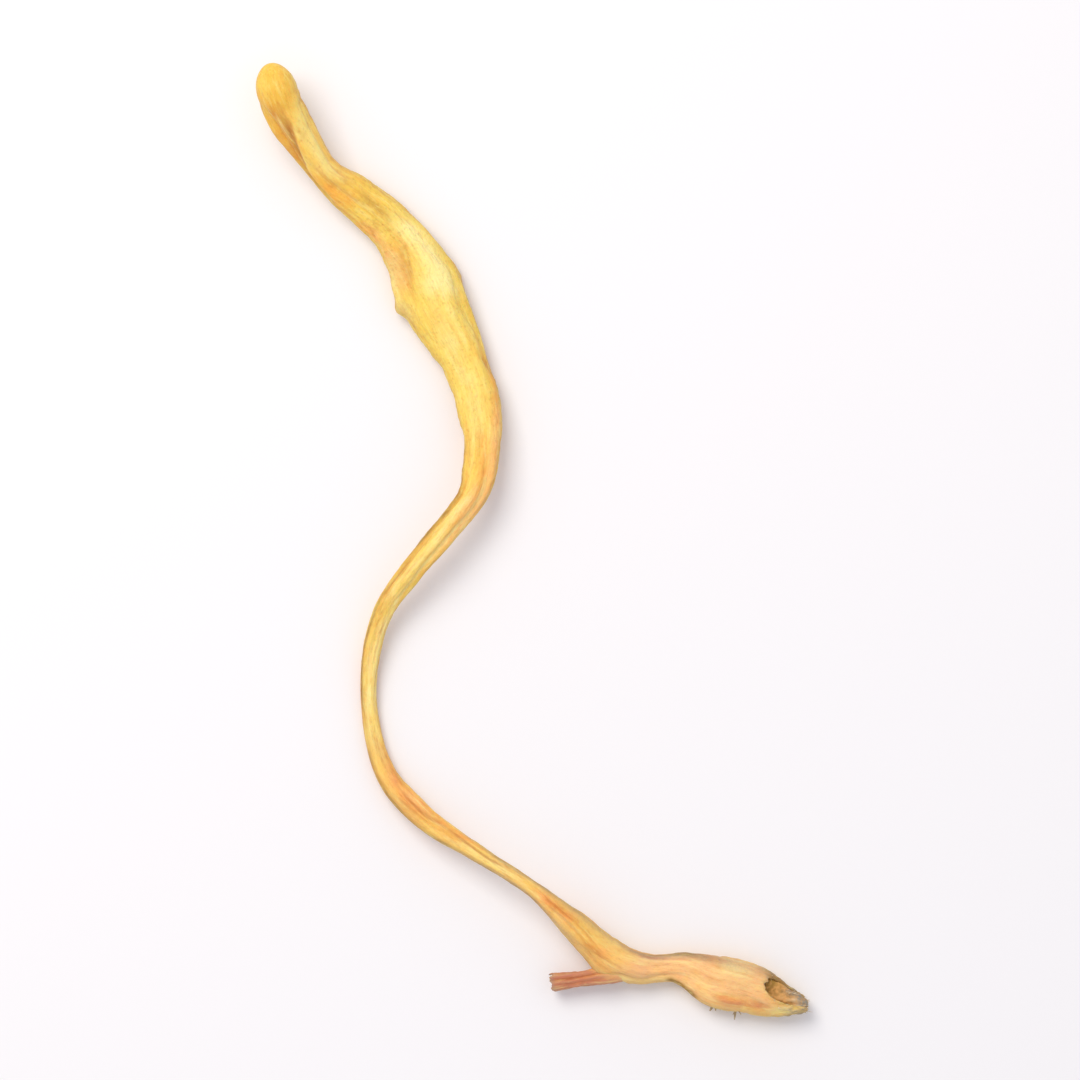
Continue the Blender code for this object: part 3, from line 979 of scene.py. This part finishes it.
def dried_skin(look):
    """Dried fungus skin: tough, matt and faintly waxy, so light sinks in a little and thin edges
    glow. Yellow with a pale painted highlight on the ridges, orange to brown in the folds, partly as
    painted shade, mottled and finely streaked along."""
    name = "dried_cordyceps_skin"
    if name in bpy.data.materials:
        return bpy.data.materials[name]
    material, tree = new_material(name)
    around = add(tree, "Attribute", output="Vector", attribute_name="around_the_strand")
    # Clouds of stronger and weaker colour are about 1.1 mm across.
    mottle = add(tree, "TexNoise", {"Vector": around, "Scale": 0.9, "Detail": 3.0})
    # Streaks are 0.25 mm wide and eight times as long.
    lengthwise = add(tree, "Mapping", {"Vector": around, "Scale": (1, 1, 0.12)})
    streak = {"Vector": lengthwise, "Scale": 4.0, "Detail": 4.0, "Roughness": 0.6}
    streak = add(tree, "TexNoise", streak)
    # Threads of the skin are 0.03 mm wide; they are drawn at 0.09 mm, and five times as long, so that
    # they show at all.
    lengthwise = add(tree, "Mapping", {"Vector": around, "Scale": (1, 1, 0.20)})
    thread = {"Vector": lengthwise, "Scale": 11.0, "Detail": 3.0, "Roughness": 0.7}
    thread = add(tree, "TexNoise", thread)
    # Its nap has fibres of 0.01 mm; it is drawn at 0.12 mm so that it shows at all.
    nap = add(tree, "TexNoise", {"Vector": around, "Scale": 8.0, "Detail": 3.0, "Roughness": 0.65})
    # Pores are the mouths of its spore cups, 0.1 mm across and about 0.3 mm apart.
    to_pore = add(tree, "TexVoronoi", {"Vector": around, "Scale": 3.6, "Randomness": 1.0})
    pore = add(tree, "MapRange", {"Value": to_pore, "From Min": 0.32, "From Max": 0.08})
    with_pores = add(tree, "Attribute", output="Fac", attribute_name="pores")
    pore = add(tree, "Math", {0: pore, 1: with_pores}, operation="MULTIPLY")

    # Each stain, painted highlight and painted shade is stronger and weaker with the mottling, by its
    # swing.
    colour = look.yellow
    for name, swing, over in (
        ("orange_tone_and_shade", 2.4, look.orange),
        ("peach_stain", 1.2, look.peach),
        ("pale_tone_and_highlight", 2.0, look.pale),
        ("gold_stain", 0.6, look.gold),
        ("red_stain", 0.6, look.stub),
        ("crease_shade", 0.6, look.crease),
        ("olive_marks_and_shade", 1.6, look.olive),
    ):
        share = add(tree, "Attribute", output="Fac", attribute_name=name)
        change = {"Value": mottle, "To Min": 1 - swing / 2, "To Max": 1 + swing / 2}
        change = add(tree, "MapRange", change)
        share = add(tree, "Math", {0: share, 1: change}, operation="MULTIPLY", use_clamp=True)
        colour = add(tree, "Mix", {0: share, 6: colour, 7: over}, 2, data_type="RGBA")
    # Each fine pattern lays its colour on from nothing at one value to all of it at another.
    for pattern, none, full, over in (
        (streak, 0.50, 1.20, look.orange),
        (streak, 0.47, 0.00, look.pale),
        (thread, 0.52, 1.25, look.crease),
        (thread, 0.44, -0.10, look.pale),
        (pore, 0.0, 7.0, look.crease),
    ):
        share = add(tree, "MapRange", {"Value": pattern, "From Min": none, "From Max": full})
        colour = add(tree, "Mix", {0: share, 6: colour, 7: over}, 2, data_type="RGBA")
    torn = add(tree, "Attribute", output="Fac", attribute_name="grey_share")
    change = add(tree, "MapRange", {"Value": nap, "From Min": 0.3, "From Max": 0.6, "To Min": 0.5})
    torn = add(tree, "Math", {0: torn, 1: change}, operation="MULTIPLY")
    colour = add(tree, "Mix", {0: torn, 6: colour, 7: look.torn}, 2, data_type="RGBA")

    relief = add(tree, "Math", {0: nap, 1: thread}, operation="SUBTRACT")
    relief = add(tree, "Math", {0: streak, 1: 0.8, 2: relief}, operation="MULTIPLY_ADD")
    relief = add(tree, "Math", {0: pore, 1: -0.5, 2: relief}, operation="MULTIPLY_ADD")
    shader = {
        "Base Color": colour,
        "Roughness": add(tree, "MapRange", {"Value": nap, "To Min": 0.46, "To Max": 0.74}),
        "IOR": 1.45,
        "Subsurface Weight": 0.20,
        "Subsurface Radius": (1.0, 0.42, 0.12),
        "Subsurface Scale": 0.4 * MM,
        "Sheen Weight": 0.12,
        "Sheen Roughness": 0.5,
        "Normal": add(tree, "Bump", {"Strength": 0.9, "Distance": 0.04 * MM, "Height": relief}),
    }
    shader = add(tree, "BsdfPrincipled", shader, subsurface_method="RANDOM_WALK")
    add(tree, "OutputMaterial", {"Surface": shader})
    return material


def dried_pith(look):
    """Dried pith: spongy, crumbly and quite matt. Orange-brown with cream crumbs where it was torn,
    olive painted shadow under the torn skin's edge, darker painted shade between its lumps, and grey
    with dust at the very end."""
    material, tree = new_material("dried_pith")
    around = add(tree, "Attribute", output="Vector", attribute_name="around_the_strand")
    # Crumbs are 0.2 mm across.
    crumb = add(tree, "TexNoise", {"Vector": around, "Scale": 5.0, "Detail": 4.0, "Roughness": 0.7})
    colour = look.pith
    # Olive is painted shadow under the torn skin's edge, and the darker olive in the hollows is painted
    # shade between the lumps.
    for name, none, full, over in (
        ("cream", 0.30, 0.60, look.fibre),
        ("olive", 0.20, 0.62, look.olive),
        ("hollows", 0.35, 0.75, darker(look.olive, 0.6)),
        ("grey", 0.25, 0.60, look.torn),
    ):
        share = add(tree, "MapRange", {"Value": crumb, "From Min": none, "From Max": full})
        where = add(tree, "Attribute", output="Fac", attribute_name=name)
        share = add(tree, "Math", {0: share, 1: where}, operation="MULTIPLY", use_clamp=True)
        colour = add(tree, "Mix", {0: share, 6: colour, 7: over}, 2, data_type="RGBA")
    shader = {
        "Base Color": colour,
        "Roughness": add(tree, "MapRange", {"Value": crumb, "To Min": 0.65, "To Max": 0.85}),
        "IOR": 1.5,
        "Subsurface Weight": 0.12,
        "Subsurface Radius": (1.0, 0.6, 0.35),
        "Subsurface Scale": 0.2 * MM,
        "Normal": add(tree, "Bump", {"Strength": 0.8, "Distance": 0.05 * MM, "Height": crumb}),
    }
    shader = add(tree, "BsdfPrincipled", shader, subsurface_method="RANDOM_WALK")
    add(tree, "OutputMaterial", {"Surface": shader})
    return material


def dry_fibre(look):
    """Dry torn fibres: thin, papery and matt, from grey-brown to cream."""
    material, tree = new_material("dry_torn_fibre")
    spot = add(tree, "TexCoord", output="Object")
    # Patches of 0.15 mm break up each hair's own tone.
    patchy = add(tree, "TexNoise", {"Vector": spot, "Scale": 6.5 / MM, "Detail": 2.0})
    tone = add(tree, "Attribute", output="Fac", attribute_name="tone")
    tone = add(tree, "Math", {0: patchy, 1: 0.5, 2: tone}, operation="MULTIPLY_ADD")
    tone = add(tree, "Math", {0: tone, 1: 0.25}, operation="SUBTRACT", use_clamp=True)
    dark = darker(look.olive, 0.45)
    shader = {
        "Base Color": add(tree, "Mix", {0: tone, 6: dark, 7: look.fibre}, 2, data_type="RGBA"),
        "Roughness": add(tree, "MapRange", {"Value": patchy, "To Min": 0.6, "To Max": 0.8}),
        "IOR": 1.5,
        "Subsurface Weight": 0.15,
        "Subsurface Radius": (1.0, 0.6, 0.35),
        "Subsurface Scale": 0.1 * MM,
    }
    shader = add(tree, "BsdfPrincipled", shader, subsurface_method="RANDOM_WALK")
    add(tree, "OutputMaterial", {"Surface": shader})
    return material


def finished(piece, material):
    """Gives a finished piece its material and its body, in place of the solid."""
    piece.data.materials.append(material)
    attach(piece, BODY)
    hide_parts(SOLID_NODE)


class CORDYCEPS_OT_strand_skin(Operator):
    """Build the strand's skin, from the puffy tip to the torn foot"""

    bl_idname = "cordyceps.strand_skin"
    bl_label = "Strand skin"

    def execute(self, context):
        look = context.scene.cordyceps_skin
        course = course_of(STATIONS)
        length = course["length"]
        place, angle, share, inside = torn_tube(
            course,
            AROUND,
            MOUTH_TEAR,
            RINGS,
            TIP_ROUND,
            TIP_RINGS,
            MOUTH_STRETCH,
            LIP,
            HOLLOW_DEPTH,
            HOLLOW_RINGS,
        )
        # The section swells and thins along the strand as a sum of sines.
        swell = 1 + sum(size * np.sin(2 * np.pi * place / wave + phase) for wave, size, phase in SWELLS)
        swollen_share = share * np.where(inside, 1.0, swell)
        large, small = folds(course, place, angle, look)
        near_end = smooth_step((place - length + CRUMBLE_START) / CRUMBLE_FADE)
        lumps = layered(END_CRUMBS, place, angle)
        sunk = (large + small) * share - END_LUMPS * near_end * lumps
        sunk = np.where(inside, HOLLOW_LUMPS * END_LUMPS * lumps, sunk)
        rings = skin_points(course, place, angle, swollen_share, sunk)
        at_knee = np.abs(place[:, 0] - KNEE) < KNEE_REACH
        gap = np.full(place.shape, FAR_OFF)
        gap[at_knee] = gap_to_round(course_of(STUB), rings[at_knee])
        rings = on_table(skin_points(course, place, angle, swollen_share, sunk - swollen(gap)))
        ends = read(course, "middle", np.array([0.0, length - HOLLOW_DEPTH]))

        stains = strand_tones_and_shade(course, place, angle, large, small, gap)
        all_over, at_edge, on_lumps = CRUMBLE_GREY
        crumbling = all_over + at_edge * bell(angle, *CRUMBLE_EDGE) + on_lumps * lumps
        crumbling = np.clip(near_end**CRUMBLE_SHARPNESS * crumbling, 0, 1)
        stains["grey_share"] = np.clip(crumbling + streaks(GREY_STREAKS, place, angle), 0, 1)
        for name, strength in HOLLOW_TONES_AND_SHADE.items():
            stains[name] = np.where(inside, strength, stains[name])
        attributes = {
            "around_the_strand": straightened(course, place, angle, share),
            **stains,
            "pores": between(place, *PORES),
        }
        piece = closed_grid("strand_skin", rings, ends, attributes)
        finished(piece, dried_skin(look))
        return {"FINISHED"}


class CORDYCEPS_OT_side_stub(Operator):
    """Build the short side stub that broke off at the knee"""

    bl_idname = "cordyceps.side_stub"
    bl_label = "Side stub"

    def execute(self, context):
        look = context.scene.cordyceps_skin
        course = course_of(STUB)
        length = course["length"]
        place, angle, share, inside = torn_tube(
            course,
            STUB_AROUND,
            STUB_TEAR,
            STUB_RINGS,
            STUB_ROOT_ROUND,
            STUB_ROOT_RINGS,
            STUB_STRETCH,
            STUB_LIP,
            STUB_HOLLOW,
            STUB_HOLLOW_RINGS,
        )
        creased = streaks(STUB_CREASES, place, angle)
        creased = creased + STUB_DRY_DEPTH * crumpled(place, angle, *STUB_DRY_CREASES)
        grain = layered(STUB_GRAIN, place, angle)
        rings = skin_points(course, place, angle, share, np.where(inside, grain, creased * share + grain))
        gap = gap_to_oval(course_of(STATIONS), rings)
        ends = read(course, "middle", np.array([0.0, length - STUB_HOLLOW]))

        broken = smooth_step((place - length + STUB_GREY_LENGTH) / STUB_GREY_LENGTH)
        orange, orange_reach = ROOT_ORANGE
        peach, peach_reach = ROOT_PEACH
        less_red, red_reach = ROOT_LESS_RED
        attributes = {
            "around_the_strand": straightened(course, place, angle, share),
            "orange_tone_and_shade": orange * touching(gap, orange_reach),
            "peach_stain": peach * touching(gap, peach_reach),
            "pale_tone_and_highlight": 0 * place,
            "gold_stain": 0 * place,
            "olive_marks_and_shade": STUB_EDGE_SHADE * np.abs(np.cos(angle)) ** EDGE_SHARPNESS,
            "red_stain": 1 - less_red * touching(gap, red_reach),
            "crease_shade": STUB_CREASE_SHADE * np.clip(creased / STUB_CREASE_FULL, 0, 1),
            "grey_share": np.where(inside, STUB_HOLLOW_GREY, STUB_GREY * broken**2),
            "pores": 0 * place,
        }
        piece = closed_grid("side_stub_skin", on_table(rings), ends, attributes)
        finished(piece, dried_skin(look))
        return {"FINISHED"}


class CORDYCEPS_OT_torn_pith(Operator):
    """Build the crumbly pith that is left in the foot's torn mouth"""

    bl_idname = "cordyceps.torn_pith"
    bl_label = "Torn pith"

    def execute(self, context):
        look = context.scene.cordyceps_skin
        course = course_of(STATIONS)
        start, end = PITH_SPAN
        place = np.linspace(start, end, PITH_RINGS + 2)[1:-1, None]
        # It closes as a quarter circle at its outer end and as a square root at its inner one.
        closing = np.sqrt(1 - np.clip(1 - (end - place) / PITH_ROUND, 0, 1) ** 2)
        closing = closing * np.sqrt(np.clip((place - start) / PITH_ROUND, 0, 1))
        place, angle = np.broadcast_arrays(place, all_round(PITH_AROUND))
        fibres = layered(PITH_FIBRES, place, angle)
        of_fibres, of_crumbs = PITH_LUMP_SHARES
        lumps = of_fibres * fibres + of_crumbs * layered(PITH_CRUMBS, place, angle)
        pit = patches((PITH_PIT,), place, angle)
        sunk = (sum(folds(course, place, angle, look)) + pit - PITH_LUMPS * lumps) * closing
        rings = on_table(skin_points(course, place, angle, PITH_SHARE * closing, sunk))
        ends = read(course, "middle", np.array([start, end]))

        edge = bell(angle, *PITH_EDGE)
        shadow_inside, shadow_edge = PITH_SHADOW_SHARES
        cream, cream_fibres = PITH_CREAM_SHARES
        cream = np.clip(cream + cream_fibres * fibres, 0, 1)
        hollow, hollow_lumps = PITH_HOLLOW_SHARES
        grey = rising(place, *PITH_GREY) + edge * rising(place, *PITH_GREY_EDGE)
        # The foot lies along x, so its own points, with x last, serve for its pattern.
        attributes = {
            "around_the_strand": np.stack([rings[..., 1], rings[..., 2], rings[..., 0]], axis=-1),
            "hollows": np.clip(hollow - hollow_lumps * lumps, 0, 1),
            "olive": shadow_inside * rising(place, *PITH_SHADOW) + shadow_edge * edge,
            "cream": rising(place, *PITH_CREAM) * cream * bell(angle, *PITH_CREAM_SIDE),
            "grey": np.clip(grey, 0, 1),
        }
        piece = closed_grid("torn_pith", rings, ends, attributes)
        finished(piece, dried_pith(look))
        return {"FINISHED"}


class CORDYCEPS_OT_torn_fibres(Operator):
    """Add the splinters on the foot and the torn fibres at its mouth and at the stub's end"""

    bl_idname = "cordyceps.torn_fibres"
    bl_label = "Torn fibres"

    def execute(self, context):
        look = context.scene.cordyceps_skin
        strand = course_of(STATIONS)
        rng = np.random.default_rng(FIBRE_SEED)
        parts = [self.spurs(strand), *(self.tuft(strand, *row, rng) for row in TUFTS)]
        for course, count, tear, lip in (
            (strand, MOUTH_HAIRS, MOUTH_TEAR, LIP),
            (course_of(STUB), STUB_HAIRS, STUB_TEAR, STUB_LIP),
        ):
            parts.append(self.fringe(course, rng.uniform(0, 2 * np.pi, count), tear, lip, rng))
        piece = hair_tubes("torn_fibres", *(np.concatenate(column) for column in zip(*parts)))
        finished(piece, dry_fibre(look))
        return {"FINISHED"}

    def spurs(self, course):
        """The listed splinters, which start just under the strand's skin."""
        place, angle, ahead, left, up, radii, tones = np.array(SPURS).T
        share = np.full(len(place), SPUR_SHARE)
        roots = skin_points(course, place, np.radians(angle), share, np.zeros(len(place)))
        reaches = (
            ahead[:, None] * read(course, "forward", place)
            + left[:, None] * read(course, "side", place)
            + up[:, None] * read(course, "top", place)
        )
        bows = SPUR_BOW * np.linalg.norm(reaches, axis=1)[:, None] * read(course, "top", place)
        return roots, reaches, bows, radii, tones

    def tuft(self, course, start, end, from_angle, to_angle, count, rng):
        """Fine pale fibres that lie forwards and inwards along a line on the foot, crossing a little."""
        along = rng.uniform(0, 1, count)
        place = start + (end - start) * along
        line = from_angle + (to_angle - from_angle) * along
        angle = np.radians(line + rng.normal(0, TUFT_STRAY, count))
        roots = skin_points(course, place, angle, rng.uniform(*TUFT_SHARES, count), np.zeros(count))
        inwards = TUFT_INWARDS * np.cos(angle)[:, None] * read(course, "side", place)
        return self.scattered(course, place, roots, inwards, TUFT_HAIR, rng)

    def fringe(self, course, angle, tear, lip, rng):
        """Short hairs in the thickness of a torn edge, most of them pointing forwards."""
        count = len(angle)
        place = course["length"] - torn_back(angle, *tear) - FRINGE_BACK
        share = 1 - rng.uniform(*FRINGE_WALL, count) * lip / read(course, "half_width", place)
        roots = skin_points(course, place, angle, share, np.zeros(count))
        return self.scattered(course, place, roots, 0, FRINGE_HAIR, rng)

    def scattered(self, course, place, roots, lean, hair, rng):
        """Hairs of random lengths that run forwards from their roots, each turned and bowed at random
        around its own lean."""
        count = len(roots)
        size = rng.uniform(*hair["lengths"], count)[:, None]
        sideways = rng.normal(0, hair["spread"], (count, 3)) + lean
        reaches = size * (read(course, "forward", place) + sideways)
        bows = hair["bow"] * size * rng.normal(0, 1, (count, 3))
        return roots, reaches, bows, rng.uniform(*hair["radii"], count), rng.uniform(*hair["tones"], count)


class CORDYCEPS_OT_stage(Operator):
    """Lay the table and set the light and the camera"""

    bl_idname = "cordyceps.stage"
    bl_label = "Stage"

    def execute(self, context):
        setting = context.scene.cordyceps_stage
        low, high = (np.array(corner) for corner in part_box(SOLID_NODE))
        middle = (low + high) / 2

        mesh = bpy.data.meshes.new("table")
        signs = ((-1, -1), (1, -1), (1, 1), (-1, 1))
        corners = [(x * TABLE_HALF, y * TABLE_HALF, -TABLE_DROP) for x, y in signs]
        mesh.from_pydata(corners, [], [(0, 1, 2, 3)])
        material, tree = new_material("matt_white_table")
        shader = {"Base Color": setting.floor, "Roughness": 0.9, "IOR": 1.45}
        shader = add(tree, "BsdfPrincipled", shader)
        add(tree, "OutputMaterial", {"Surface": shader})
        mesh.materials.append(material)
        new_object("table", mesh)

        camera = bpy.data.cameras.new("camera")
        camera.sensor_width = SENSOR_WIDTH
        camera.lens = camera.sensor_width * setting.height / setting.view
        camera.clip_start, camera.clip_end = SIGHT
        eye = new_object("camera", camera)
        eye.location = (middle[0] + VIEW_SHIFT, middle[1], setting.height)
        context.scene.camera = eye

        light = bpy.data.lights.new("key light", "AREA")
        light.shape = "SQUARE"
        light.size = LAMP_SIZE
        light.energy = setting.key_light
        light.color = linear(LAMP_COLOUR)
        lamp = new_object("key light", light)
        lamp.location = LAMP_PLACE
        lamp.rotation_euler = np.radians(LAMP_TILT)

        world = bpy.data.worlds.new("even light")
        world.use_nodes = True
        world.node_tree.nodes.clear()
        sky = {"Color": linear(SKY_COLOUR), "Strength": setting.sky_light}
        sky = add(world.node_tree, "Background", sky)
        add(world.node_tree, "OutputWorld", {"Surface": sky})
        context.scene.world = world
        context.scene.view_settings.view_transform = "Standard"
        return {"FINISHED"}


OPERATORS = (
    CORDYCEPS_OT_strand_skin,
    CORDYCEPS_OT_side_stub,
    CORDYCEPS_OT_torn_pith,
    CORDYCEPS_OT_torn_fibres,
    CORDYCEPS_OT_stage,
)


class CORDYCEPS_PT_panel(Panel):
    """Lists the strand's pieces and the stage, with the values that shape them."""

    bl_label = "Dried cordyceps"
    bl_idname = "CORDYCEPS_PT_panel"
    bl_space_type = "VIEW_3D"
    bl_region_type = "UI"
    bl_category = "Cordyceps"

    def draw(self, context):
        for step in OPERATORS:
            self.layout.operator(step.bl_idname)
        for group in (context.scene.cordyceps_skin, context.scene.cordyceps_stage):
            box = self.layout.box()
            for name in group.__annotations__:
                box.prop(group, name)


CLASSES = (CordycepsSkin, CordycepsStage, *OPERATORS, CORDYCEPS_PT_panel)


def register():
    for each in CLASSES:
        bpy.utils.register_class(each)
    bpy.types.Scene.cordyceps_skin = PointerProperty(type=CordycepsSkin)
    bpy.types.Scene.cordyceps_stage = PointerProperty(type=CordycepsStage)


def unregister():
    del bpy.types.Scene.cordyceps_stage
    del bpy.types.Scene.cordyceps_skin
    for each in reversed(CLASSES):
        bpy.utils.unregister_class(each)


def main():
    register()
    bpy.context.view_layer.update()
    bpy.ops.cordyceps.strand_skin()
    bpy.ops.cordyceps.side_stub()
    bpy.ops.cordyceps.torn_pith()
    bpy.ops.cordyceps.torn_fibres()
    bpy.ops.cordyceps.stage()


if __name__ == "__main__":
    main()
